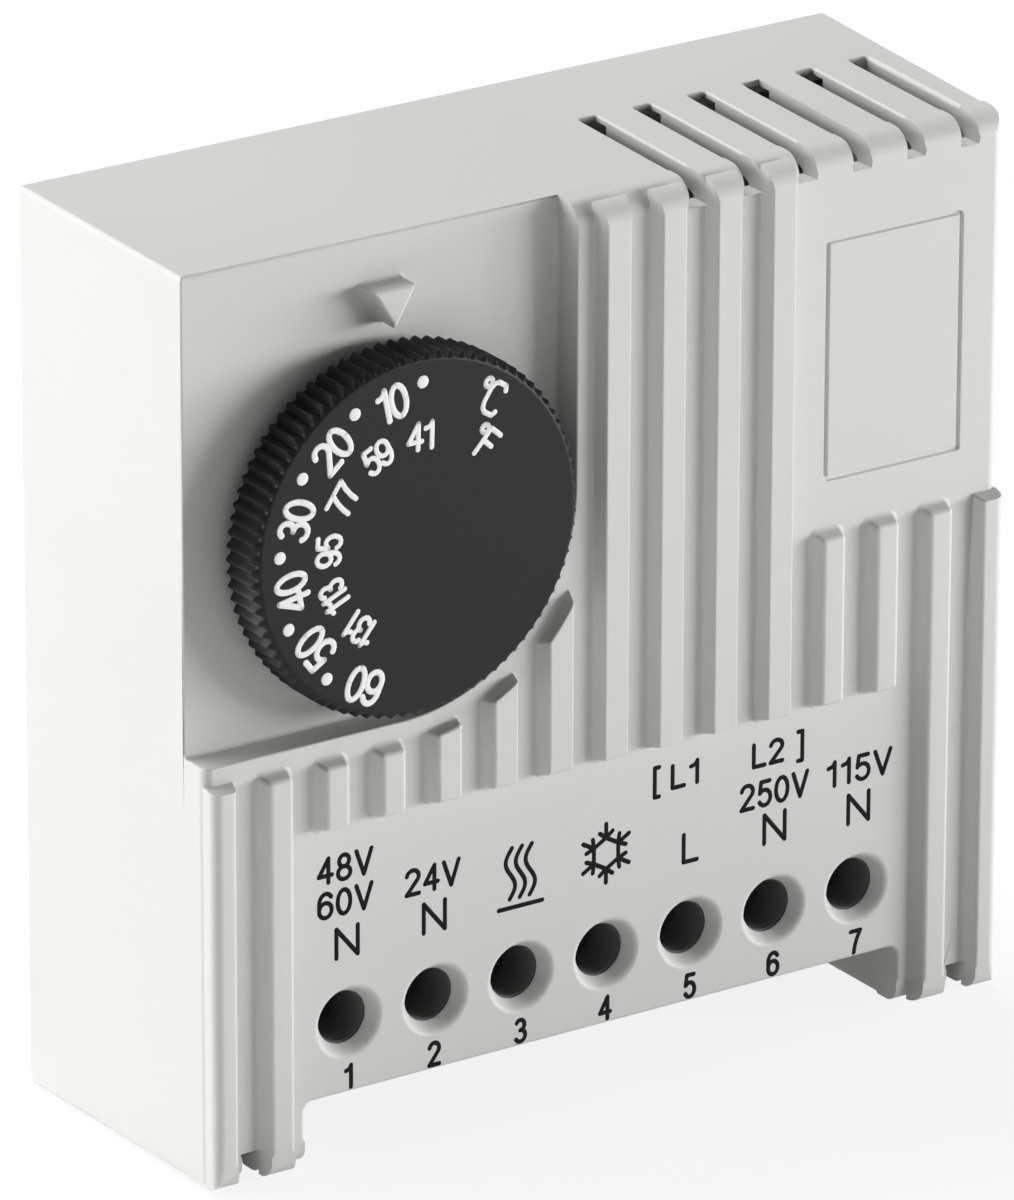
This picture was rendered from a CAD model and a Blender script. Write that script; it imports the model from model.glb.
# %% [markdown]
# # A DIN rail thermostat, dressed in Blender
#
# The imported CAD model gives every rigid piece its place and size. This script loads it as a fixed
# frame, softens the moulded edges, cuts a real grip into the dial, prints the panel and the dial,
# and gives each piece the finish of its real material. All lengths are in metres.

# %% Load the frame
import math

import bmesh
import bpy
from mathutils import Matrix, Vector
from mathutils.bvhtree import BVHTree


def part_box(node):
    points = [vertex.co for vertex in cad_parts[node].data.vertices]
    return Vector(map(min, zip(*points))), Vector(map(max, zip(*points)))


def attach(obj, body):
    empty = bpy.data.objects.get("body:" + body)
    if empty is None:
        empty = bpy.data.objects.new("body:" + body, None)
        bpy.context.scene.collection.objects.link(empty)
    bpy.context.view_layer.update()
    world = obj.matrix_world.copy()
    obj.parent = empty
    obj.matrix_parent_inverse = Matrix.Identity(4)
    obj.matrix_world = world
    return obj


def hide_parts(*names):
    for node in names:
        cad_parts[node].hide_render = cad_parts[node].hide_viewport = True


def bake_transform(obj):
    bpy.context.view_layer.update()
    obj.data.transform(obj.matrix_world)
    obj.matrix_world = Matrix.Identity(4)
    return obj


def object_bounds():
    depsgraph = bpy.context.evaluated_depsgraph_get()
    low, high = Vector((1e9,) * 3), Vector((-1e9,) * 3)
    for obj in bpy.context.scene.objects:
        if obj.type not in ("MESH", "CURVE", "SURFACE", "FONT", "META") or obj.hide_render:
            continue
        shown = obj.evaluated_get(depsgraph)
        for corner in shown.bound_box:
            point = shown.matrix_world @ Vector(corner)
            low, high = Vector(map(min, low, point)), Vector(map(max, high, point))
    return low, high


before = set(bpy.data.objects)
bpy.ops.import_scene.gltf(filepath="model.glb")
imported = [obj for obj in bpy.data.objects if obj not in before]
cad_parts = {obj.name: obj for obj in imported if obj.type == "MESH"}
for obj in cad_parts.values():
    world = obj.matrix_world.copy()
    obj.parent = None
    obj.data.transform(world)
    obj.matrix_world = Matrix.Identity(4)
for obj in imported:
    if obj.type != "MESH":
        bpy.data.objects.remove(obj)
scene = bpy.context.scene
cad_box = [list(map(float, corner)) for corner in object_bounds()]
MM = 0.001
print("CAD box in mm:", [[round(v / MM, 2) for v in corner] for corner in cad_box])

# %% [markdown]
# The camera stands where the photographer stood: in front, to the left and a little above. The
# numbers were found by fitting the corners of the housing, the rib ends and the vent slots. Its
# long lens keeps the upright edges almost parallel.

# %% Camera
def linked(name, data):
    """A new object, linked to the scene."""
    item = bpy.data.objects.new(name, data)
    scene.collection.objects.link(item)
    return item


VIEW_AZIMUTH = math.radians(-33.5229)
VIEW_HEIGHT = math.radians(21.8308)
VIEW_ROLL = math.radians(0.1696)
VIEW_DISTANCE = 0.86189
VIEW_LENS = 347.44
AIM_RIGHT = -0.007995
AIM_UP = 0.0365937
FIT_ORIGIN = Vector((0, 0.0274, 0.0355))


def add_camera():
    """Makes the camera from the fitted angles."""
    back = Vector((math.sin(VIEW_AZIMUTH) * math.cos(VIEW_HEIGHT),
                   -math.cos(VIEW_AZIMUTH) * math.cos(VIEW_HEIGHT), math.sin(VIEW_HEIGHT)))
    level = Vector((0, 0, 1)).cross(back).normalized()
    above = back.cross(level)
    right = level * math.cos(VIEW_ROLL) + above * math.sin(VIEW_ROLL)
    up = above * math.cos(VIEW_ROLL) - level * math.sin(VIEW_ROLL)
    place = right * AIM_RIGHT + up * AIM_UP + back * VIEW_DISTANCE - FIT_ORIGIN
    camera = linked("camera", bpy.data.cameras.new("camera"))
    camera.data.lens = VIEW_LENS
    camera.data.sensor_width = 36
    camera.data.clip_start = 0.05
    camera.data.clip_end = 20
    camera.matrix_world = Matrix.Translation(place) @ Matrix((right, up, back)).transposed().to_4x4()
    scene.camera = camera
    return camera


camera = add_camera()
print("camera at", [round(v, 3) for v in camera.location])

# %% [markdown]
# Materials are made of small parts. A shader node group is a recipe with named inputs that many
# materials can share. `moulded_grain` is the fine, slightly pearly texture that a spark-eroded
# mould leaves on plastic: it gives a height for a Bump node and a little change in roughness.

# %% Shader helpers
def add_node(tree, kind, links=(), **values):
    """Adds a node, sets its properties, and wires {input: value or socket}."""
    node = tree.nodes.new(kind)
    for key, value in values.items():
        setattr(node, key, value)
    for key, value in dict(links).items():
        if isinstance(value, bpy.types.NodeSocket):
            tree.links.new(value, node.inputs[key])
        else:
            node.inputs[key].default_value = value
    return node


def out_of(tree, kind, links=(), **values):
    """Adds a node and gives its first output."""
    return add_node(tree, kind, links, **values).outputs[0]


def new_socket(group, side, label, value):
    """Adds a socket. Its kind is named, as in "Material", or follows from its default value."""
    kinds = {int: "Int", float: "Float", tuple: "Color" if value == PALE_GREY else "Vector"}
    kind = value if isinstance(value, str) else kinds[type(value)]
    socket = group.interface.new_socket(label, in_out=side, socket_type="NodeSocket" + kind)
    if value is not kind:
        socket.default_value = value


def new_group(name, inputs, outputs, kind="ShaderNodeTree"):
    """Starts a node group with named sockets."""
    group = bpy.data.node_groups.new(name, kind)
    for side, sockets in (("INPUT", inputs), ("OUTPUT", outputs)):
        for label, value in sockets.items():
            new_socket(group, side, label, value)
    return group, group.nodes.new("NodeGroupInput"), group.nodes.new("NodeGroupOutput")


SURFACE_OUT = {"Height": "Float", "Roughness": "Float", "Colour": "Color"}
PALE_GREY = (0.7, 0.7, 0.7, 1)


def tint(group, colour, factor):
    """A colour made lighter or darker by a factor."""
    return out_of(group, "ShaderNodeVectorMath", {0: colour, "Scale": factor}, operation="SCALE")


def end_surface(group, result, height, roughness, colour):
    """Wires the three outputs of a surface group."""
    for label, socket in (("Height", height), ("Roughness", roughness), ("Colour", colour)):
        group.links.new(socket, result.inputs[label])
    return group


def varied(group, pattern, middle, share, base):
    """A value that follows a pattern round a base: base + share * (pattern - middle)."""
    centred = out_of(group, "ShaderNodeMath", {0: pattern, 1: middle}, operation="SUBTRACT")
    return out_of(group, "ShaderNodeMath", {0: centred, 1: share, 2: base}, operation="MULTIPLY_ADD")


def moulded_grain_group():
    """Fine grain of a textured mould, with slow changes of gloss."""
    group, given, result = new_group(
        "moulded_grain", {"Scale": 3200.0, "Gloss change": 0.08, "Roughness": 0.5, "Colour": PALE_GREY},
        SURFACE_OUT)
    place = add_node(group, "ShaderNodeTexCoord").outputs["Object"]
    grain = out_of(group, "ShaderNodeTexNoise",
                   {"Vector": place, "Scale": given.outputs["Scale"], "Detail": 3.0, "Roughness": 0.55})
    flow = out_of(group, "ShaderNodeTexNoise", {"Vector": place, "Scale": 38.0, "Detail": 2.0})
    rough = varied(group, flow, 0.5, given.outputs["Gloss change"], given.outputs["Roughness"])
    shade = out_of(group, "ShaderNodeMapRange", {"Value": flow, "From Min": 0.3, "From Max": 0.7,
                                                 "To Min": 0.985, "To Max": 1.01})
    return end_surface(group, result, grain, rough, tint(group, given.outputs["Colour"], shade))


MOULDED_GRAIN = moulded_grain_group()


def textured(name, group, values, metallic=0.0, strength=0.25, height=0.02 * MM, gloss=0.5):
    """A material whose colour, roughness and bump come from a shared surface group."""
    material = bpy.data.materials.new(name)
    material.use_nodes = True
    tree = material.node_tree
    shader = tree.nodes["Principled BSDF"]
    surface = add_node(tree, "ShaderNodeGroup", node_tree=group)
    for key, value in values.items():
        surface.inputs[key].default_value = value
    bump = add_node(tree, "ShaderNodeBump", {"Height": surface.outputs["Height"], "Strength": strength,
                                             "Distance": height})
    tree.links.new(surface.outputs["Colour"], shader.inputs["Base Color"])
    tree.links.new(surface.outputs["Roughness"], shader.inputs["Roughness"])
    tree.links.new(bump.outputs["Normal"], shader.inputs["Normal"])
    shader.inputs["Metallic"].default_value = metallic
    shader.inputs["Specular IOR Level"].default_value = gloss
    return material


def plastic(name, colour, roughness, grain=3200.0, strength=0.25, gloss=0.4):
    """A moulded plastic."""
    return textured(name, MOULDED_GRAIN, {"Scale": grain, "Roughness": roughness, "Colour": (*colour, 1)},
                    strength=strength, gloss=gloss)


COVER_GREY = plastic("cover_grey_plastic", (0.64, 0.64, 0.625), 0.52)
BASE_GREY = plastic("base_grey_plastic", (0.58, 0.58, 0.565), 0.5)
LATCH_GREY = plastic("latch_grey_plastic", (0.50, 0.50, 0.49), 0.45)
DIAL_BLACK = plastic("dial_black_plastic", (0.012, 0.012, 0.0125), 0.5, grain=2600.0, gloss=0.22)
BLOCK_BLACK = plastic("block_black_plastic", (0.15, 0.15, 0.147), 0.5)
INNER_BLACK = plastic("inner_black_plastic", (0.05, 0.05, 0.05), 0.45)
BOARD_GREEN = plastic("board_green_laminate", (0.035, 0.16, 0.07), 0.32, grain=1800.0, strength=0.4)
RESISTOR_COAT = plastic("resistor_cement", (0.16, 0.30, 0.25), 0.7, grain=5200.0, strength=0.6)
FERRITE = plastic("ferrite_dark", (0.05, 0.05, 0.052), 0.6, grain=4200.0, strength=0.5)
INK_BLACK = plastic("panel_ink", (0.005, 0.005, 0.005), 0.6, strength=0.1, gloss=0.1)
INK_WHITE = plastic("dial_ink", (0.86, 0.86, 0.86), 0.5, strength=0.1, gloss=0.3)
print("plastics:", len(bpy.data.materials))

# %% [markdown]
# Sheet and wire come out of rollers and dies with fine lines along the way they were drawn, and
# zinc plating has a soft cloudy shine. `drawn_metal` stretches a noise along one axis for the
# lines and adds slow clouds. Each metal then gives its own colour, gloss and stretch.

# %% Metals
def drawn_metal_group():
    """Lines of drawn or rolled metal, with cloudy plating."""
    group, given, result = new_group(
        "drawn_metal",
        {"Stretch": (1.0, 1.0, 0.05), "Scale": 4000.0, "Gloss change": 0.18, "Tarnish": 0.14,
         "Roughness": 0.3, "Colour": PALE_GREY}, SURFACE_OUT)
    place = add_node(group, "ShaderNodeTexCoord").outputs["Object"]
    stretched = out_of(group, "ShaderNodeVectorMath", {0: place, 1: given.outputs["Stretch"]},
                       operation="MULTIPLY")
    lines = out_of(group, "ShaderNodeTexNoise",
                   {"Vector": stretched, "Scale": given.outputs["Scale"], "Detail": 2.0})
    clouds = out_of(group, "ShaderNodeTexNoise", {"Vector": place, "Scale": 420.0, "Detail": 4.0})
    both = out_of(group, "ShaderNodeMath", {0: lines, 1: clouds}, operation="ADD")
    rough = varied(group, both, 1.0, given.outputs["Gloss change"], given.outputs["Roughness"])
    darker = varied(group, both, 1.0, given.outputs["Tarnish"], 1.0)
    return end_surface(group, result, lines, rough, tint(group, given.outputs["Colour"], darker))


DRAWN_METAL = drawn_metal_group()


def metal(name, colour, roughness, stretch=(1.0, 1.0, 0.05), tarnish=0.14):
    """A drawn, rolled or plated metal."""
    return textured(name, DRAWN_METAL, {"Stretch": stretch, "Tarnish": tarnish, "Roughness": roughness,
                                        "Colour": (*colour, 1)}, metallic=1.0, strength=0.2, height=0.01 * MM)


ALONG_X, ALONG_Y = (0.05, 1.0, 1.0), (1.0, 0.05, 1.0)
ZINC = metal("zinc_plated_steel", (0.62, 0.63, 0.64), 0.34)
SCREW_ZINC = metal("screw_zinc", (0.50, 0.50, 0.50), 0.38, ALONG_Y, tarnish=0.2)
CLAMP_ZINC = metal("clamp_zinc", (0.60, 0.60, 0.61), 0.36, ALONG_Y)
SPRING_STEEL = metal("spring_steel", (0.50, 0.50, 0.51), 0.28, ALONG_X)
BRASS = metal("turned_brass", (0.74, 0.53, 0.22), 0.26, ALONG_Y)
BIMETAL = metal("rolled_bimetal", (0.56, 0.52, 0.46), 0.3, ALONG_X)
RIVET_COPPER = metal("rivet_copper", (0.72, 0.40, 0.26), 0.32)
ARM_COPPER = metal("rolled_copper", (0.76, 0.46, 0.30), 0.28)
TINNED_BRASS = metal("tinned_brass", (0.72, 0.66, 0.50), 0.3)
SOFT_IRON = metal("soft_iron", (0.34, 0.34, 0.35), 0.5, ALONG_X, tarnish=0.3)
SILVER = metal("contact_silver", (0.82, 0.81, 0.78), 0.2, ALONG_X, tarnish=0.08)
print("materials:", len(bpy.data.materials))

# %% [markdown]
# Most inner pieces have the right shape already, so they keep their CAD mesh and only get a
# finish. A look through the vents or up into the cable gap then shows brass, steel and copper.

# %% Finishes of the inner pieces
TERMINALS = range(1, 8)
finishes = {
    BLOCK_BLACK: ["terminal_block"],
    ZINC: ["switch_frame", "frame_screws", "setting_lever", "lever_pin"],
    CLAMP_ZINC: [f"wire_clamp_{k}" for k in TERMINALS],
    SPRING_STEEL: ["spindle_clip", "contact_blade"],
    BRASS: ["dial_spindle", "spindle_bush", "setting_nut"],
    BIMETAL: ["bimetal_root", "bimetal_strip"],
    RIVET_COPPER: ["bimetal_rivets"],
    ARM_COPPER: ["heating_arm", "cooling_arm"],
    TINNED_BRASS: [f"conductor_strip_{k}" for k in TERMINALS],
    SOFT_IRON: ["armature"],
    SILVER: ["moving_contacts", "heating_contact", "cooling_contact"],
    FERRITE: ["snap_magnet"],
    INNER_BLACK: ["magnet_holder", "contact_carrier"],
    DIAL_BLACK: ["stop_peg"],
    BOARD_GREEN: ["circuit_board"],
    RESISTOR_COAT: ["resistor_24v", "resistor_48v", "resistor_115v", "resistor_250v"],
}
for material, nodes in finishes.items():
    for node in nodes:
        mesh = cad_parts[node].data
        mesh.materials.clear()
        mesh.materials.append(material)
print("inner pieces with a finish:", sum(map(len, finishes.values())))

# %% [markdown]
# A moulded housing has no knife edges. The Bevel modifier can round them, but it tears where a face
# is narrower than the rounding. So each corner line first gets a bevel weight: full where there is
# room, and less at narrow faces such as the engraved frame. The modifier's own limit isn't used,
# because one tight place would make every rounding on the piece smaller.

# %% Room for a rounding
CORNER_ANGLE = math.radians(28)
STRAIGHT_ON_ANGLE = math.radians(140)
SHARE_OF_FACE = 0.42
SHARE_OF_EDGE = 0.8
GENTLE_LINE_BONUS = 2.5
LEAST_SHARE = 0.25


def clear_width(edge, face):
    """Distance over a face from the middle of one edge to the nearest corner line opposite."""
    middle = (edge.verts[0].co + edge.verts[1].co) / 2
    along = (edge.verts[1].co - edge.verts[0].co).normalized()
    inward = face.normal.cross(along)
    if inward.dot(face.calc_center_median() - middle) < 0:
        inward = -inward
    nearest = 1.0
    for other in face.edges:
        if other is edge or other.seam:
            continue
        a, b = (vert.co - middle for vert in other.verts)
        sides = a.dot(along), b.dot(along)
        if sides[0] * sides[1] < 0:
            share = sides[0] / (sides[0] - sides[1])
            reach = (a + (b - a) * share).dot(inward)
            if other.calc_face_angle(0) < CORNER_ANGLE:
                reach *= GENTLE_LINE_BONUS
            if reach > 1e-6:
                nearest = min(nearest, reach)
    return nearest


def seen_from_outside(tree, edge, facing, low, high):
    """True if the view from the edge is free to the front or rear, or the edge lies on a side."""
    out = (edge.link_faces[0].normal + edge.link_faces[1].normal).normalized()
    start = (edge.verts[0].co + edge.verts[1].co) / 2 + out * 0.05 * MM
    ways = [Vector((lean, facing, 0)) for lean in (0, 0.6, -0.6)]
    near_side = 0.7 * MM
    for axis in (0, 2):
        for side, edge_of_box in ((-1, low[axis]), (1, high[axis])):
            if abs(start[axis] - edge_of_box) < near_side:
                ways.append(Vector((side * (axis == 0), 0, side * (axis == 2))))
    return any(tree.ray_cast(start, way)[0] is None for way in ways)


def in_box(place, box):
    """True inside a box, given by its x, y and z ranges in mm."""
    return all(low * MM < value < high * MM for value, (low, high) in zip(place, box))


def corner_lines(shell, facing, left_out):
    """The outer corner edges, outside the boxes left out, each with the room that its faces give."""
    tree = BVHTree.FromBMesh(shell)
    places = [vert.co for vert in shell.verts]
    low, high = ([pick(p[axis] for p in places) for axis in range(3)] for pick in (min, max))
    room = {}
    for edge in shell.edges:
        middle = (edge.verts[0].co + edge.verts[1].co) / 2
        if (len(edge.link_faces) == 2 and edge.calc_face_angle() > CORNER_ANGLE
                and not any(in_box(middle, box) for box in left_out)
                and seen_from_outside(tree, edge, facing, low, high)):
            room[edge] = SHARE_OF_FACE * min(clear_width(edge, face) for face in edge.link_faces)
    return room


def limit_by_neighbours(room):
    """Lowers the room of each edge where the edges at its ends are short."""
    for edge in room:
        for vert in edge.verts:
            way = edge.other_vert(vert).co - vert.co
            for other in vert.link_edges:
                if other not in room:
                    room[edge] = min(room[edge], SHARE_OF_EDGE * other.calc_length())
                    continue
                turn = way.angle(other.other_vert(vert).co - vert.co)
                if other is not edge and turn < STRAIGHT_ON_ANGLE:
                    room[edge] = min(room[edge], SHARE_OF_FACE * other.calc_length())


def weigh_edges(shell, radius, facing, left_out):
    """Gives each outer corner line the bevel weight that its narrowest place allows."""
    weights = shell.edges.layers.float.new("bevel_weight_edge")
    room = corner_lines(shell, facing, left_out)
    limit_by_neighbours(room)
    while room:
        line, todo = set(), [next(iter(room))]
        while todo:
            edge = todo.pop()
            line.add(edge)
            for vert in edge.verts:
                others = [other for other in vert.link_edges if other in room]
                if len(others) == 2:
                    todo += [other for other in others if other not in line]
        least = min(room[edge] for edge in line)
        for edge in line:
            edge[weights] = min(1.0, least / radius) if least > LEAST_SHARE * radius else 0.0
            del room[edge]


print("a corner is sharper than", round(math.degrees(CORNER_ANGLE)), "degrees")

# %% [markdown]
# A CAD node is loose triangles, and the Bevel modifier needs clean faces. So a copy is made and its
# triangles are merged. A face with a hole in it can't be one polygon, so the copy is first cut by
# planes through the holes. The cut lines are marked as seams, and the merging stops there. The CAD
# node itself stays in the physics model.

# %% Clean copy of a CAD node
FLAT_ANGLE = math.radians(0.6)
SAME_POINT, SLIVER = 0.002 * MM, 0.08 * MM
AXES = {"x": Vector((1, 0, 0)), "y": Vector((0, 1, 0)), "z": Vector((0, 0, 1))}


def merged_copy(node, name, cuts, radius, facing, left_out):
    """A clean copy of a CAD node's mesh: flat faces joined up to the cuts, edges weighed."""
    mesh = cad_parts[node].data.copy()
    mesh.name = name
    mesh.materials.clear()
    shell = bmesh.new()
    shell.from_mesh(mesh)
    bmesh.ops.remove_doubles(shell, verts=shell.verts, dist=SAME_POINT)
    for axis, level, front, rear in cuts:
        faces = [face for face in shell.faces
                 if all(front * MM < vert.co.y < rear * MM for vert in face.verts)]
        edges = dict.fromkeys(edge for face in faces for edge in face.edges)
        verts = dict.fromkeys(vert for face in faces for vert in face.verts)
        cut = bmesh.ops.bisect_plane(shell, geom=[*verts, *edges, *faces], dist=1e-6,
                                     plane_co=AXES[axis] * level * MM, plane_no=AXES[axis])
        for part in cut["geom_cut"]:
            if isinstance(part, bmesh.types.BMEdge):
                part.seam = True
    bmesh.ops.dissolve_limit(shell, angle_limit=FLAT_ANGLE, verts=shell.verts, edges=shell.edges,
                             delimit={"SEAM"})
    bmesh.ops.remove_doubles(shell, verts=shell.verts, dist=SLIVER)
    weigh_edges(shell, radius, facing, left_out)
    shell.to_mesh(mesh)
    shell.free()
    return linked(name, mesh)


print("points closer than", SLIVER / MM, "mm become one")

# %% [markdown]
# A finished piece is a plain mesh with one material. It rides on a body of the physics model, and
# it may stand for CAD nodes, which it then hides.

# %% Finish a piece
def apply_modifiers(piece):
    """Turns the evaluated shape into the piece's own plain mesh."""
    depsgraph = bpy.context.evaluated_depsgraph_get()
    mesh = bpy.data.meshes.new_from_object(piece.evaluated_get(depsgraph))
    piece.modifiers.clear()
    piece.data = mesh
    return piece


def box_in_mm(node):
    """The two corners of a CAD node's box, in mm."""
    return [Vector(corner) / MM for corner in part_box(node)]


def give(piece, material, body, nodes=()):
    """Finishes a piece: its material, its body, and the CAD nodes and slot it stands for."""
    if material:
        piece.data.materials.clear()
        piece.data.materials.append(material)
    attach(piece, body)
    if nodes:
        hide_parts(*nodes)
    print(piece.name, "has", len(piece.data.vertices), "vertices")
    return piece


# %% [markdown]
# `softened` rounds the clean copy. Where three roundings meet, the modifier can throw a corner
# point outwards, so such points go back onto the CAD surface. At the end each corner of a face
# takes its shading from the largest faces near it. Flat faces then look flat right up to a
# rounding, and the rounding alone catches the light.

# %% Soften moulded edges
PULL_BACK_SHARE = 0.45


def pull_back(piece, node, limit):
    """Brings corner points that the bevel threw outwards back onto the CAD surface."""
    shell = bmesh.new()
    shell.from_mesh(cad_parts[node].data)
    tree = BVHTree.FromBMesh(shell)
    shell.free()
    for vert in piece.data.vertices:
        place, _, _, gap = tree.find_nearest(vert.co)
        if gap > limit:
            vert.co = place


def shade_by_large_faces(piece, spread=50):
    """Each corner takes the direction of the largest faces near its own, so flat faces stay flat."""
    mesh = piece.data
    mesh.shade_smooth()
    around = [[] for _ in mesh.vertices]
    for face in mesh.polygons:
        for vert in face.vertices:
            around[vert].append((face.area / MM ** 2, face.normal.copy()))
    least = math.cos(math.radians(spread))
    normals = []
    for face in mesh.polygons:
        for vert in face.vertices:
            near = [normal * area ** 2 for area, normal in around[vert]
                    if normal.dot(face.normal) > least]
            total = sum(near, Vector((0, 0, 0)))
            normals.append(total.normalized() if total.length > 0 else face.normal.copy())
    mesh.normals_split_custom_set(normals)
    return piece


def softened(node, name, radius, cuts, facing, left_out=(), segments=2):
    """Rounds a CAD node's edges. It faces the front with -1 and the rear with 1."""
    piece = merged_copy(node, name, cuts, radius, facing, left_out)
    bevel = piece.modifiers.new("edge_round", "BEVEL")
    bevel.width = radius
    bevel.segments = segments
    bevel.limit_method = "WEIGHT"
    bevel.use_clamp_overlap = False
    bevel.miter_outer = "MITER_ARC"
    apply_modifiers(piece)
    pull_back(piece, node, PULL_BACK_SHARE * radius)
    return shade_by_large_faces(piece)


print("share of the rounding that a point may stray:", PULL_BACK_SHARE)

# %% [markdown]
# Each cut is an axis, a level, and the range from front to rear in which it is made, all in mm. The
# levels of the cover lie in the row of terminal holes, at the panel's upper edge, at the middle of
# the dial and of the engraved frame, and above the well. More go through the rear screws, the
# vents, the rib ends and just above the gap between the legs. The noses at the rib ends are rounded
# in the CAD already. Their faces are too small for a second rounding, so they are left out.

# %% Cover, base plate and latch
ALL, FRONT_PART, REAR_PART, RIGHT_OF_DIAL = (-99, 99), (-99, -23), (-24, 99), (-3.2, 99)
HOLE_ROW, PANEL_TOP, DIAL_LEVEL, FRAME_LEVEL, OVER_WELL = -24.78, -6.3, 13.15, 18.2, 29.5
SCREWS_HIGH, SCREWS_LOW, SCREW_EDGE, SPRING_POST = 29.6, -26.6, 28.75, -2.45
RIB_END, LEGS_TOP = 33.2, -28.6
VENT_Y, NOSE_REAR_Y = -12.5, -23.4
COVER_CUTS = [("z", level, *ALL) for level in (HOLE_ROW, PANEL_TOP, DIAL_LEVEL, FRAME_LEVEL, OVER_WELL)]
COVER_CUTS += [("z", level, *REAR_PART) for level in (SCREWS_HIGH, SCREWS_LOW)]
COVER_CUTS += [("y", level, *ALL) for level in (VENT_Y, NOSE_REAR_Y)]
COVER_CUTS += [("z", level, *FRONT_PART) for level in (RIB_END, -RIB_END, LEGS_TOP)]
BASE_CUTS = [("z", level, *ALL) for level in (SCREWS_HIGH, SCREW_EDGE, SPRING_POST, SCREWS_LOW)]
BASE_CUTS += [("x", 0.0, *ALL)]
LATCH_CUTS = [("x", 0.0, *ALL)]
NOSE_DEPTH = (-99, NOSE_REAR_Y)
RIB_NOSES = [(RIGHT_OF_DIAL, NOSE_DEPTH, (RIB_END - 0.01, 99)), (ALL, NOSE_DEPTH, (-99, 0.01 - RIB_END))]
COVER_ROUNDING, REAR_ROUNDING = 0.36 * MM, 0.2 * MM

cover = softened("front_cover", "ribbed_cover", COVER_ROUNDING, COVER_CUTS, -1, RIB_NOSES)
give(cover, COVER_GREY, "base", ["front_cover"])
base = softened("base_plate", "rail_base", REAR_ROUNDING, BASE_CUTS, 1)
give(base, BASE_GREY, "base", ["base_plate"])
latch = softened("rail_latch", "sprung_latch", REAR_ROUNDING, LATCH_CUTS, 1)
give(latch, LATCH_GREY, "latch", ["rail_latch"])

# %% [markdown]
# The latch hangs on a coil spring. Its top hook stays with the base plate and its foot goes down
# with the latch, so the spring is one piece that stretches between the two bodies.

# %% Spring of the latch
def stretching_spring():
    """A copy of the CAD spring that follows the base at its top and the latch at its foot."""
    shell = bmesh.new()
    shell.from_mesh(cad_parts["latch_spring"].data)
    bmesh.ops.remove_doubles(shell, verts=shell.verts, dist=SAME_POINT)
    mesh = bpy.data.meshes.new("pull_spring")
    shell.to_mesh(mesh)
    shell.free()
    mesh.materials.append(SPRING_STEEL)
    mesh.shade_smooth()
    spring = linked("pull_spring", mesh)
    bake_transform(spring)
    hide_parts("latch_spring")
    return spring


pull_spring = stretching_spring()
print(pull_spring.name, "has", len(pull_spring.data.vertices), "vertices")

# %% [markdown]
# The dial and the screws are turned shapes: one outline swept round an axis. The dial has a
# finely toothed rim, and a screw has a thread, which is the same wave wound along the axis. One
# Geometry Nodes tree makes both. It bends a flat grid round the axis, reads each row's radius
# from a little profile object, and lowers the surface by a wave of the angle and the depth.
# Every vertex of the object that carries the modifier gets one such turned shape.

# %% Node tree for turned pieces
GEOMETRY_OUT = {"Geometry": "Geometry"}
SLOT_WIDTH, SLOT_LENGTH, CROSS_LENGTH = 0.6 * MM, 20 * MM, 2.5 * MM


def sum_up(tree, *steps):
    """Chains Math nodes from steps (operation, a, b). None is the last result, False is no input."""
    last = None
    for operation, a, b in steps:
        values = {0: last if a is None else a}
        if b is not False:
            values[1] = last if b is None else b
        last = out_of(tree, "ShaderNodeMath", values, operation=operation)
    return last


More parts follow.
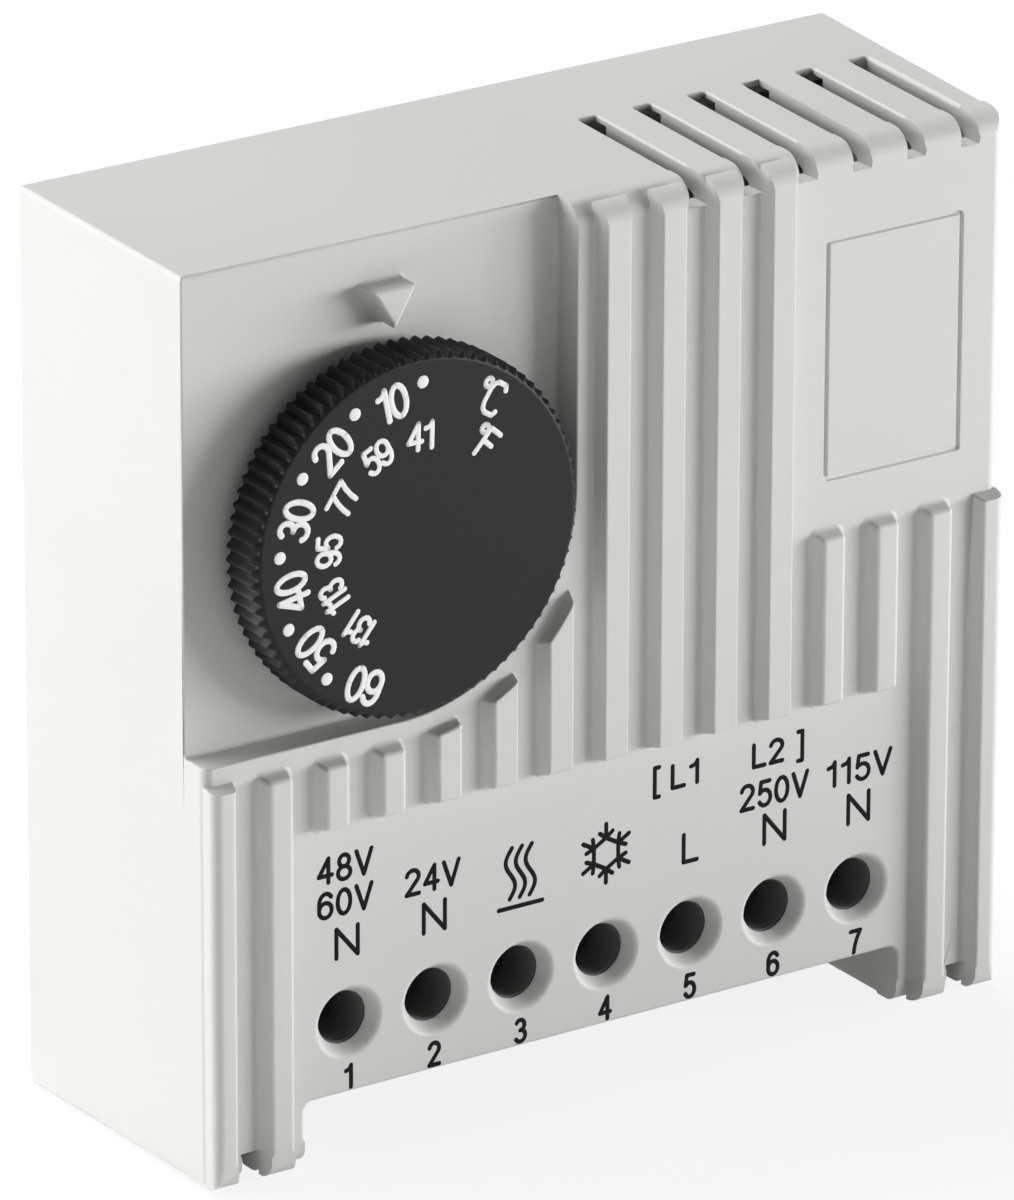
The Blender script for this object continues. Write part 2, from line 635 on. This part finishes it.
def turned_tree(name, slotted):
    """Builds the tree: grid, profile lookup, wave, closed shell, screwdriver slot, copies."""
    inputs = {"Geometry": "Geometry", "Profile": "Object", "Steps around": 48, "Teeth": 1.0,
              "Depth": 0.0, "Twist": 0.0, "Turn": 0.0, "Front": 0.0, "Slot width": SLOT_WIDTH,
              "Slot depth": 0.8 * MM, "Finish": "Material"}
    tree, given, result = new_group(name, inputs, GEOMETRY_OUT, "GeometryNodeTree")
    take = given.outputs
    profile = add_node(tree, "GeometryNodeObjectInfo", {"Object": take["Profile"]}).outputs["Geometry"]
    rows = add_node(tree, "GeometryNodeAttributeDomainSize", {"Geometry": profile}).outputs["Point Count"]
    columns = sum_up(tree, ("ADD", take["Steps around"], 1.0))
    grid = out_of(tree, "GeometryNodeMeshGrid",
                  {"Size X": 1.0, "Size Y": 1.0, "Vertices X": columns, "Vertices Y": rows})
    place = out_of(tree, "GeometryNodeInputPosition")
    flat = add_node(tree, "ShaderNodeSeparateXYZ", {0: place})
    angle = sum_up(tree, ("ADD", flat.outputs["X"], 0.5), ("MULTIPLY", None, 2 * math.pi))
    gaps = sum_up(tree, ("SUBTRACT", rows, 1.0))
    row = sum_up(tree, ("ADD", flat.outputs["Y"], 0.5), ("MULTIPLY", None, gaps), ("ROUND", None, False))
    sample = add_node(tree, "GeometryNodeSampleIndex", data_type="FLOAT_VECTOR", domain="POINT")
    tree.links.new(profile, sample.inputs["Geometry"])
    tree.links.new(place, sample.inputs["Value"])
    tree.links.new(row, sample.inputs["Index"])
    found = add_node(tree, "ShaderNodeSeparateXYZ", {0: sample.outputs["Value"]})
    along = sum_up(tree, ("MULTIPLY", found.outputs["Y"], take["Twist"]))
    wave = sum_up(tree, ("MULTIPLY", angle, take["Teeth"]), ("ADD", None, along), ("COSINE", None, False),
                  ("MULTIPLY", None, -0.5), ("ADD", None, 0.5), ("MULTIPLY", None, take["Depth"]),
                  ("MULTIPLY", None, found.outputs["Z"]))
    radius = sum_up(tree, ("SUBTRACT", found.outputs["X"], wave))
    x = sum_up(tree, ("COSINE", angle, False), ("MULTIPLY", None, radius))
    z = sum_up(tree, ("SINE", angle, False), ("MULTIPLY", None, radius))
    there = out_of(tree, "ShaderNodeCombineXYZ", {0: x, 1: found.outputs["Y"], 2: z})
    bent = out_of(tree, "GeometryNodeSetPosition", {"Geometry": grid, "Position": there})
    shell = out_of(tree, "GeometryNodeMergeByDistance", {"Geometry": bent, "Distance": 0.001 * MM})
    if slotted:
        cut = add_node(tree, "GeometryNodeMeshBoolean", {"Mesh 1": shell}, operation="DIFFERENCE",
                       solver="EXACT")
        deep = sum_up(tree, ("MULTIPLY", take["Slot depth"], 2.0))
        shift = out_of(tree, "ShaderNodeCombineXYZ", {1: take["Front"]})
        for across, up in ((SLOT_LENGTH, take["Slot width"]), (take["Slot width"], CROSS_LENGTH)):
            extent = out_of(tree, "ShaderNodeCombineXYZ", {0: across, 1: deep, 2: up})
            bar = out_of(tree, "GeometryNodeMeshCube", {"Size": extent})
            placed = out_of(tree, "GeometryNodeSetPosition", {"Geometry": bar, "Offset": shift})
            tree.links.new(placed, cut.inputs["Mesh 2"])
        shell = cut.outputs["Mesh"]
    spin = out_of(tree, "ShaderNodeCombineXYZ", {1: take["Turn"]})
    copies = out_of(tree, "GeometryNodeInstanceOnPoints",
                    {"Points": take["Geometry"], "Instance": shell, "Rotation": spin})
    real = out_of(tree, "GeometryNodeRealizeInstances", {"Geometry": copies})
    done = out_of(tree, "GeometryNodeSetMaterial", {"Geometry": real, "Material": take["Finish"]})
    tree.links.new(done, result.inputs["Geometry"])
    return tree


TURNED = turned_tree("turned_piece", False)
SLOTTED = turned_tree("slotted_screw", True)
print("nodes in the two trees:", len(TURNED.nodes), len(SLOTTED.nodes))

# %% [markdown]
# The tree works on an object that is only points, and a second such object holds the profile. The
# result becomes a plain mesh, and the profile is removed.

# %% Use of the tree
ROUND_ENOUGH = 50


def points_object(name, points, edges=()):
    """An object that is only points and lines, for a node tree to work on."""
    mesh = bpy.data.meshes.new(name)
    mesh.from_pydata(points, edges, [])
    return linked(name, mesh)


def run_tree(piece, tree, **values):
    """Puts a node tree on a piece, sets its inputs by their identifiers, and makes a plain mesh."""
    modifier = piece.modifiers.new(tree.name, "NODES")
    modifier.node_group = tree
    names = {item.name: item.identifier for item in tree.interface.items_tree if item.in_out == "INPUT"}
    for label, value in values.items():
        modifier[names[label.replace("_", " ")]] = value
    apply_modifiers(piece)
    return piece


def smooth_with_edges(piece, angle):
    """Smooth shading that stays crisp at real edges, with flat faces kept flat."""
    piece.data.shade_smooth()
    piece.data.set_sharp_from_angle(angle=math.radians(angle))
    weighted = piece.modifiers.new("flat_first", "WEIGHTED_NORMAL")
    weighted.keep_sharp = True
    weighted.weight = 100
    return apply_modifiers(piece)


def turned(name, profile, places, tree=TURNED, **values):
    """A turned piece at each place. A profile row is (radius, y, share of the wave), rear first."""
    outline = points_object(name + "_profile", [(r * MM, y * MM, share) for r, y, share in profile])
    piece = points_object(name, places)
    run_tree(piece, tree, Profile=outline, **values)
    bpy.data.objects.remove(outline)
    return smooth_with_edges(piece, ROUND_ENOUGH)


print("a turned piece is smooth up to", ROUND_ENOUGH, "degrees")

# %% [markdown]
# The dial is a black cap, about 28 mm across. Its flat face has a softened rim, the teeth start on
# a small slope behind it, and the hollow rear holds the hub. The teeth are ridges about 1 mm apart
# that catch small points of light at their front ends. It is a little wider than the CAD's dial,
# because that fits the real one better, and it still has room in the well.

# %% Dial
DIAL_GROWTH, TEETH, STEPS_PER_TOOTH = 0.25, 84, 6
BORE_R, HUB_R, HOLLOW_R = 2.0, 4.4, 12.0
low, high = box_in_mm("dial_knob")
DIAL_X, DIAL_Z = (low.x + high.x) / 2, (low.z + high.z) / 2
DIAL_FRONT, FACE_REAR, RIM_REAR, HUB_REAR = low.y, low.y + 1.3, low.y + 4.0, high.y
DIAL_R = (high.x - low.x) / 2 + DIAL_GROWTH
dial_profile = [
    (0, FACE_REAR, 0), (BORE_R, FACE_REAR, 0), (BORE_R, HUB_REAR, 0), (HUB_R, HUB_REAR, 0),
    (HUB_R, FACE_REAR, 0), (HOLLOW_R, FACE_REAR, 0), (HOLLOW_R, RIM_REAR, 0), (DIAL_R - 0.55, RIM_REAR, 0),
    (DIAL_R - 0.1, RIM_REAR - 0.12, 0.9), (DIAL_R, RIM_REAR - 0.3, 1), (DIAL_R, DIAL_FRONT + 1.6, 1),
    (DIAL_R, DIAL_FRONT + 0.55, 1), (DIAL_R - 0.1, DIAL_FRONT + 0.38, 1),
    (DIAL_R - 0.48, DIAL_FRONT + 0.08, 0.08), (DIAL_R - 0.6, DIAL_FRONT + 0.02, 0),
    (DIAL_R - 0.75, DIAL_FRONT, 0), (0, DIAL_FRONT, 0)]
dial = turned("setting_dial", dial_profile, [(DIAL_X * MM, 0, DIAL_Z * MM)],
              Steps_around=TEETH * STEPS_PER_TOOTH, Teeth=float(TEETH), Depth=0.5 * MM, Finish=DIAL_BLACK)
give(dial, None, "dial", ["dial_knob"])
print("dial centre and radius in mm:", round(DIAL_X, 2), round(DIAL_Z, 2), round(DIAL_R, 2))

# %% [markdown]
# Each terminal screw has a flat head with a combined slot, and a shank with a fine thread. The
# profile's rows lie close together along the shank so that the thread's wave is smooth. Every
# head is turned by a different angle, as a fitter would leave them.

# %% Terminal screws
def thread_rows(y_rear, y_front, radius, steps_per_mm=12):
    """Close rows along a shank, with the thread fading in at its tip."""
    count = int((y_front - y_rear) * -steps_per_mm)
    rows = [(radius, y_rear + (y_front - y_rear) * n / count, min(1, n / 6, (count - n) / 6))
            for n in range(count + 1)]
    return rows


CLAMP_PITCH, HEAD_HEIGHT, CLAMP_SHANK_R = 0.7, 2.2, 1.25
for k in TERMINALS:
    low, high = box_in_mm(f"terminal_screw_{k}")
    front, rear, head_r = low.y, high.y, (high.x - low.x) / 2
    head_rear = front + HEAD_HEIGHT
    profile = [(0, rear, 0), (1.05, rear, 0)]
    profile += thread_rows(rear - 0.1, head_rear + 0.05, CLAMP_SHANK_R)
    profile += [(CLAMP_SHANK_R, head_rear, 0), (head_r - 0.15, head_rear, 0), (head_r, head_rear - 0.15, 0),
                (head_r, front + 0.25, 0), (head_r - 0.25, front, 0), (0, front, 0)]
    middle = ((low.x + high.x) / 2 * MM, 0, (low.z + high.z) / 2 * MM)
    screw = turned(f"cage_screw_{k}", profile, [middle], SLOTTED, Steps_around=40, Depth=0.16 * MM,
                   Twist=2 * math.pi / (CLAMP_PITCH * MM), Turn=math.radians((k * 67) % 180),
                   Front=front * MM, Slot_width=SLOT_WIDTH, Slot_depth=0.9 * MM, Finish=SCREW_ZINC)
    give(screw, None, f"screw_{k}", [f"terminal_screw_{k}"])

# %% [markdown]
# The four screws at the rear hold the base plate in the cover. They have domed heads and a coarser
# thread for plastic, and they share one object, because they never move.

# %% Rear screws
low, high = box_in_mm("cover_screws")
PLASTIC_PITCH, HEAD_R, SHANK_R = 0.9, 2.3, 1.1
places = [(x * MM, 0, z * MM) for x in (low.x + HEAD_R, high.x - HEAD_R)
          for z in (low.z + HEAD_R, high.z - HEAD_R)]
HEAD_FLOOR, HEAD_TOP, TIP = high.y - 1.3, high.y, low.y
rear_profile = [(0, HEAD_TOP, 0), (0.9, HEAD_TOP - 0.02, 0), (1.6, HEAD_TOP - 0.14, 0),
                (2.05, HEAD_TOP - 0.4, 0), (HEAD_R, HEAD_TOP - 0.8, 0), (HEAD_R, HEAD_FLOOR + 0.1, 0),
                (HEAD_R - 0.1, HEAD_FLOOR, 0), (SHANK_R, HEAD_FLOOR, 0)]
rear_profile += thread_rows(HEAD_FLOOR - 0.3, TIP + 0.4, SHANK_R, 10) + [(0.7, TIP, 0), (0, TIP, 0)]
rear_screws = turned("rear_screws", rear_profile, places, SLOTTED, Steps_around=40, Depth=0.2 * MM,
                     Twist=2 * math.pi / (PLASTIC_PITCH * MM), Turn=0.4, Front=HEAD_TOP * MM,
                     Slot_width=SLOT_WIDTH, Slot_depth=0.8 * MM, Finish=ZINC)
give(rear_screws, None, "base", ["cover_screws"])

# %% [markdown]
# The numbers are printed with a round-ended pen, so each letter is drawn as strokes, in a small
# lettering of our own. A second tree runs a round tube along every stroke, sets a ball on each
# stroke end and corner, and presses it all flat, which leaves a thin raised film of ink. A ball
# can be larger than the pen, and that makes the dots of the scale.

# %% Node tree for ink
def ink_tree():
    """Builds the tree: strokes to tubes, balls at joints, pressed flat onto a plane."""
    inputs = {"Geometry": "Geometry", "Pen": 0.3 * MM, "Plane": 0.0, "Thickness": 0.1,
              "Finish": "Material"}
    tree, given, result = new_group("inked_strokes", inputs, GEOMETRY_OUT, "GeometryNodeTree")
    take = given.outputs
    radius = sum_up(tree, ("MULTIPLY", take["Pen"], 0.5))
    lines = out_of(tree, "GeometryNodeMeshToCurve", {"Mesh": take["Geometry"]})
    ring = out_of(tree, "GeometryNodeCurvePrimitiveCircle", {"Resolution": 8, "Radius": radius})
    tubes = out_of(tree, "GeometryNodeCurveToMesh",
                   {"Curve": lines, "Profile Curve": ring, "Fill Caps": True})
    ball = out_of(tree, "GeometryNodeMeshUVSphere", {"Segments": 16, "Rings": 6, "Radius": radius})
    stored = add_node(tree, "GeometryNodeInputNamedAttribute", {"Name": "ball"}, data_type="FLOAT")
    size = stored.outputs["Attribute"]
    chosen = out_of(tree, "FunctionNodeCompare", {0: size, 1: 0.0}, data_type="FLOAT",
                    operation="GREATER_THAN")
    balls = out_of(tree, "GeometryNodeInstanceOnPoints",
                   {"Points": take["Geometry"], "Instance": ball, "Selection": chosen, "Scale": size})
    joined = add_node(tree, "GeometryNodeJoinGeometry")
    for part in (tubes, balls):
        tree.links.new(part, joined.inputs[0])
    real = out_of(tree, "GeometryNodeRealizeInstances", {"Geometry": joined.outputs[0]})
    place = out_of(tree, "GeometryNodeInputPosition")
    level = add_node(tree, "ShaderNodeSeparateXYZ", {0: place}).outputs["Y"]
    rest = sum_up(tree, ("SUBTRACT", 1.0, take["Thickness"]))
    press = sum_up(tree, ("SUBTRACT", take["Plane"], level), ("MULTIPLY", None, rest))
    offset = out_of(tree, "ShaderNodeCombineXYZ", {1: press})
    pressed = out_of(tree, "GeometryNodeSetPosition", {"Geometry": real, "Offset": offset})
    done = out_of(tree, "GeometryNodeSetMaterial", {"Geometry": pressed, "Material": take["Finish"]})
    tree.links.new(done, result.inputs["Geometry"])
    return tree


INK = ink_tree()
print("nodes in the ink tree:", len(INK.nodes))

# %% [markdown]
# Each letter is a width and its strokes, on a height of 1. Round parts are bows of an ellipse.

# %% Letters as strokes
def bow(x, y, rx, ry, start, end, steps=12):
    """Points on part of an ellipse, by angles in degrees."""
    turn = [math.radians(start + (end - start) * n / steps) for n in range(steps + 1)]
    return [(x + rx * math.cos(a), y + ry * math.sin(a)) for a in turn]


SIX = [bow(0.27, 0.62, 0.26, 0.38, 35, 180, 8) + [(0.01, 0.35)], bow(0.255, 0.31, 0.25, 0.31, 0, 360, 16)]
LETTERS = {
    "0": (0.50, [bow(0.25, 0.5, 0.25, 0.5, 0, 360, 20)]),
    "1": (0.32, [[(0.03, 0.78), (0.16, 0.82), (0.25, 0.91), (0.28, 1.0), (0.28, 0.0)]]),
    "2": (0.50, [bow(0.25, 0.74, 0.24, 0.26, 170, -38) + [(0.0, 0.0), (0.5, 0.0)]]),
    "3": (0.49, [bow(0.24, 0.76, 0.21, 0.24, 150, -90, 9) + bow(0.24, 0.27, 0.25, 0.27, 90, -150, 11)[1:]]),
    "4": (0.52, [[(0.38, 0.0), (0.38, 1.0), (0.0, 0.3), (0.52, 0.3)]]),
    "5": (0.50, [[(0.46, 1.0), (0.1, 1.0), (0.05, 0.53)] + bow(0.25, 0.32, 0.25, 0.33, 125, -150)]),
    "6": (0.50, SIX),
    "7": (0.50, [[(0.0, 1.0), (0.5, 1.0), (0.32, 0.62), (0.22, 0.28), (0.18, 0.0)]]),
    "8": (0.50, [bow(0.25, 0.755, 0.2, 0.245, 0, 360, 14), bow(0.25, 0.255, 0.25, 0.265, 0, 360, 16)]),
    "9": (0.50, [[(0.5 - x, 1.0 - y) for x, y in line] for line in SIX]),
    "V": (0.60, [[(0.0, 1.0), (0.3, 0.0), (0.6, 1.0)]]),
    "N": (0.58, [[(0.0, 0.0), (0.0, 1.0), (0.58, 0.0), (0.58, 1.0)]]),
    "L": (0.46, [[(0.0, 1.0), (0.0, 0.0), (0.46, 0.0)]]),
    "C": (0.58, [[(0.58, 0.86), (0.5, 1.0), (0.18, 1.0), (0.05, 0.9), (0.0, 0.72), (0.0, 0.28),
                  (0.05, 0.1), (0.18, 0.0), (0.5, 0.0), (0.58, 0.14)]]),
    "F": (0.44, [[(0.0, 0.0), (0.0, 1.0), (0.44, 1.0)], [(0.0, 0.52), (0.38, 0.52)]]),
    "[": (0.22, [[(0.22, 1.17), (0.0, 1.17), (0.0, -0.17), (0.22, -0.17)]]),
    "]": (0.22, [[(0.0, 1.17), (0.22, 1.17), (0.22, -0.17), (0.0, -0.17)]]),
    "o": (0.26, [bow(0.13, 0.86, 0.13, 0.14, 0, 360, 10)]),
}
print("letters drawn:", len(LETTERS))

# %% [markdown]
# A sheet gathers the strokes of one printed piece, and runs the ink tree once over all of them.

# %% Sheet of print
SHARP_TURN, INK_THICKNESS = 32, 0.12


class Sheet:
    """Collects strokes on a plane that faces the viewer, for one printed object."""

    def __init__(self, plane):
        self.plane, self.points, self.edges, self.balls = plane, [], [], []

    def stroke(self, line):
        """Adds one line of (x, z) points in mm, cut at its sharp corners. A ball closes each cut."""
        path = [Vector(point) for point in line]
        closed = len(path) > 2 and (path[0] - path[-1]).length < 1e-6
        sharp = [n for n in range(1, len(path) - 1)
                 if math.degrees((path[n] - path[n - 1]).angle(path[n + 1] - path[n])) > SHARP_TURN]
        ends = [0] + sharp + [len(path) - 1]
        for start, stop in zip(ends, ends[1:]):
            part = path[start:stop] if closed and not sharp else path[start:stop + 1]
            first, last = len(self.points), len(self.points) + len(part) - 1
            self.points += [(x * MM, self.plane * MM, z * MM) for x, z in part]
            self.edges += [(n, n + 1) for n in range(first, last)]
            if closed and not sharp:
                self.edges.append((last, first))
                self.balls += [0.0] * len(part)
            else:
                self.balls += [1.0] + [0.0] * (len(part) - 2) + [1.0]

    def dot(self, x, z, size):
        """Adds a round dot, as many times wider than the pen as size says."""
        self.points.append((x * MM, self.plane * MM, z * MM))
        self.balls.append(size)

    def text(self, words, x, z, height, width=None, spacing=0.2, angle=90.0):
        """Writes words centred on (x, z) in mm. Angle is the direction of their tops, in degrees."""
        natural = sum(LETTERS[c][0] for c in words) + spacing * (len(words) - 1)
        across = (width / natural) if width else height
        up = Vector((math.cos(math.radians(angle)), math.sin(math.radians(angle))))
        right = Vector((up.y, -up.x))
        pen = -natural / 2
        for letter in words:
            wide, lines = LETTERS[letter]
            for line in lines:
                self.stroke([tuple(Vector((x, z)) + right * (pen + px) * across + up * (pz - 0.5) * height)
                             for px, pz in line])
            pen += wide + spacing

    def printed(self, name, pen, ink, body, slot):
        """Turns the strokes into a printed piece."""
        piece = points_object(name, self.points, self.edges)
        ball = piece.data.attributes.new("ball", "FLOAT", "POINT")
        ball.data.foreach_set("value", self.balls)
        run_tree(piece, INK, Pen=pen * MM, Plane=self.plane * MM, Thickness=INK_THICKNESS, Finish=ink)
        piece.data.shade_smooth()
        return give(piece, None, body)


print("a sharp turn is over", SHARP_TURN, "degrees")

# %% [markdown]
# The panel is printed in black: the numbers of the seven terminals below the holes, and above
# them the supply voltages, the neutral and line letters, three waves for heating over a bar, and
# a snow crystal for cooling.

# %% Print on the panel
PHOTO_FLOOR = 35.5
PANEL_Y = -26.16
panel = Sheet(PANEL_Y)


def label(words, x, above_floor, height, width=None, spacing=0.24):
    """A printed word, with its height above the photograph's floor."""
    panel.text(words, x, above_floor - PHOTO_FLOOR, height, width, spacing)


for k, x in enumerate((-22.7, -15.2, -7.6, -0.05, 7.55, 15.1, 22.65), 1):
    label(str(k), x, 6.35, 1.75)
label("48V", -22.95, 23.15, 1.9, 4.55)
label("60V", -22.95, 20.4, 1.9, 4.55)
label("24V", -15.35, 20.5, 1.9, 4.55)
label("250V", 15.05, 20.4, 1.9, 5.95)
label("115V", 22.75, 20.5, 1.9, 5.75)
for x, z in ((-22.8, 17.15), (-15.2, 17.35), (15.1, 17.45), (22.75, 17.3)):
    label("N", x, z, 2.3, 1.85)
label("[", 4.45, 23.5, 1.75)
label("L1", 7.0, 23.6, 1.75, 2.3)
label("L", 7.5, 17.6, 2.2, 1.2)
label("L2", 14.45, 23.6, 1.75, 2.6)
label("]", 17.35, 23.5, 1.75)


def heat_waves():
    """Three rising waves over a bar."""
    for middle in (-8.53, -7.64, -6.77):
        panel.stroke([(middle + 0.42 * math.sin(math.tau * (1.07 * t / 16 - 0.02)),
                       17.15 - PHOTO_FLOOR + 4.05 * t / 16) for t in range(17)])
    panel.stroke([(-9.55, 16.45 - PHOTO_FLOOR), (-5.7, 16.45 - PHOTO_FLOOR)])


def point_at(x, z, direction, length):
    """The point that lies at a length from (x, z), in a direction in degrees."""
    a = math.radians(direction)
    return x + length * math.cos(a), z + length * math.sin(a)


def snow_crystal(x, z, ring=1.25, reach=2.35, barb=0.72):
    """A six-cornered ring with a spoke and two barbs at each corner."""
    corners = [point_at(x, z, 90 + 60 * n, ring) for n in range(6)]
    panel.stroke(corners + corners[:1])
    for n, corner in enumerate(corners):
        for swing, length in ((0, reach - ring), (52, barb), (-52, barb)):
            panel.stroke([corner, point_at(*corner, 90 + 60 * n + swing, length)])


heat_waves()
snow_crystal(-0.05, 18.85 - PHOTO_FLOOR)
panel.printed("panel_print", 0.37, INK_BLACK, "base", None)

# %% [markdown]
# The dial is printed in white. The outer numbers are degrees Celsius, with dots halfway between
# them for the odd fives, and the inner ones are the same settings in Fahrenheit. Each number's
# top points away from the axis.

# %% Print on the dial
outer, inner = Sheet(DIAL_FRONT), Sheet(DIAL_FRONT)


def on_dial(sheet, words, direction, radius, height, width, spacing=0.12):
    """Words at a direction and radius on the dial, in degrees and mm."""
    sheet.text(words, *point_at(DIAL_X, DIAL_Z, direction, radius), height, width, spacing, direction)


CELSIUS = (("10", 101.8, 10.95, 2.35), ("20", 131.7, 10.95, 2.8), ("30", 161.7, 10.95, 2.8),
           ("40", 190.6, 10.95, 2.8), ("50", 217.3, 11.1, 2.8), ("60", 246.1, 11.55, 2.8))
FAHRENHEIT = (("41", 88.6, 7.7, 2.1), ("59", 116.9, 7.7, 2.2), ("77", 146.6, 7.7, 2.2),
              ("95", 176.0, 7.7, 2.2), ("113", 203.3, 7.85, 2.3), ("131", 230.9, 7.88, 2.35))
DOTS = ((88.2, 11.85), (117.2, 11.85), (146.5, 11.85), (175.8, 11.85), (203.4, 12.1), (229.8, 12.2))
for sheet, numbers, height in ((outer, CELSIUS, 2.45), (inner, FAHRENHEIT, 1.95)):
    for words, direction, radius, width in numbers:
        on_dial(sheet, words, direction, radius, height, width)
for direction, radius in DOTS:
    outer.dot(*point_at(DIAL_X, DIAL_Z, direction, radius), 2.0)
on_dial(inner, "oC", 57, 11.35, 2.4, 2.0, 0.05)
on_dial(inner, "oF", 47.5, 8.35, 2.2, 1.8, 0.05)
outer.printed("dial_numbers", 0.5, INK_WHITE, "dial", None)
inner.printed("dial_small_numbers", 0.42, INK_WHITE, "dial", None)

# %% [markdown]
# The stage is a pale floor that the camera sees as nearly white, and that still takes the object's
# shadow. The key lamp and the edge lamp stand low in front, to the right, so the dial's shadow
# falls to the left. The left lamp and the top lamp stand behind the plane of the face: they
# brighten the left side and the top, and leave the left flanks of the ribs dark.

# %% Floor and lamps
FLOOR_WHITE = bpy.data.materials.new("stage_white")
GLOW_SHARE, SKY_STRENGTH = 0.86, 0.15


def add_stage():
    """A wide pale floor under the legs."""
    FLOOR_WHITE.use_nodes = True
    tree = FLOOR_WHITE.node_tree
    tree.nodes.clear()
    out = tree.nodes.new("ShaderNodeOutputMaterial")
    pale = out_of(tree, "ShaderNodeBsdfDiffuse", {"Color": (0.92, 0.92, 0.92, 1)})
    quiet = out_of(tree, "ShaderNodeBsdfDiffuse", {"Color": (0.9, 0.9, 0.9, 1)})
    glow = out_of(tree, "ShaderNodeEmission", {"Color": (1, 1, 1, 1), "Strength": 1.0})
    rays = add_node(tree, "ShaderNodeLightPath")
    seen = sum_up(tree, ("MAXIMUM", rays.outputs["Is Camera Ray"], rays.outputs["Is Glossy Ray"]),
                  ("MAXIMUM", None, rays.outputs["Is Transmission Ray"]))
    white = out_of(tree, "ShaderNodeMixShader", {0: GLOW_SHARE, 1: pale, 2: glow})
    mix = out_of(tree, "ShaderNodeMixShader", {0: seen, 1: quiet, 2: white})
    tree.links.new(mix, out.inputs["Surface"])
    size, floor_z = 3.0, cad_box[0][2]
    mesh = bpy.data.meshes.new("floor")
    mesh.from_pydata([(-size, -size, floor_z), (size, -size, floor_z), (size, size, floor_z),
                      (-size, size, floor_z)], [], [(0, 1, 2, 3)])
    mesh.materials.append(FLOOR_WHITE)
    linked("floor", mesh)


def add_lamp(name, place, size, power, target=(0, -0.01, 0)):
    """A soft lamp that looks at the object."""
    data = bpy.data.lights.new(name, "AREA")
    data.shape = "RECTANGLE"
    data.size, data.size_y = size
    data.energy = power
    lamp = linked(name, data)
    lamp.location = place
    lamp.rotation_mode = "QUATERNION"
    lamp.rotation_quaternion = (Vector(target) - Vector(place)).to_track_quat("-Z", "Y")
    print(name, "gives", power, "watts")


add_stage()
add_lamp("key_lamp", (0.62, -0.55, 0.08), (0.45, 0.2), 4.2)
add_lamp("edge_lamp", (0.8, -0.28, 0.06), (0.3, 0.15), 2.6)
add_lamp("left_lamp", (-0.7, 0.42, 0.2), (0.5, 0.5), 6.9)
add_lamp("top_lamp", (-0.1, 0.5, 0.8), (0.6, 0.6), 7.6)


def add_world(strength):
    """A dim even sky, which the camera sees as white."""
    world = bpy.data.worlds.new("studio")
    scene.world = world
    world.use_nodes = True
    tree = world.node_tree
    tree.nodes.clear()
    out = tree.nodes.new("ShaderNodeOutputWorld")
    soft = out_of(tree, "ShaderNodeBackground", {"Color": (1, 1, 1, 1), "Strength": strength})
    seen = out_of(tree, "ShaderNodeBackground", {"Color": (1, 1, 1, 1), "Strength": 1.0})
    rays = add_node(tree, "ShaderNodeLightPath")
    mix = out_of(tree, "ShaderNodeMixShader", {0: rays.outputs["Is Camera Ray"], 1: soft, 2: seen})
    tree.links.new(mix, out.inputs["Surface"])


add_world(SKY_STRENGTH)
scene.view_settings.view_transform = "Standard"
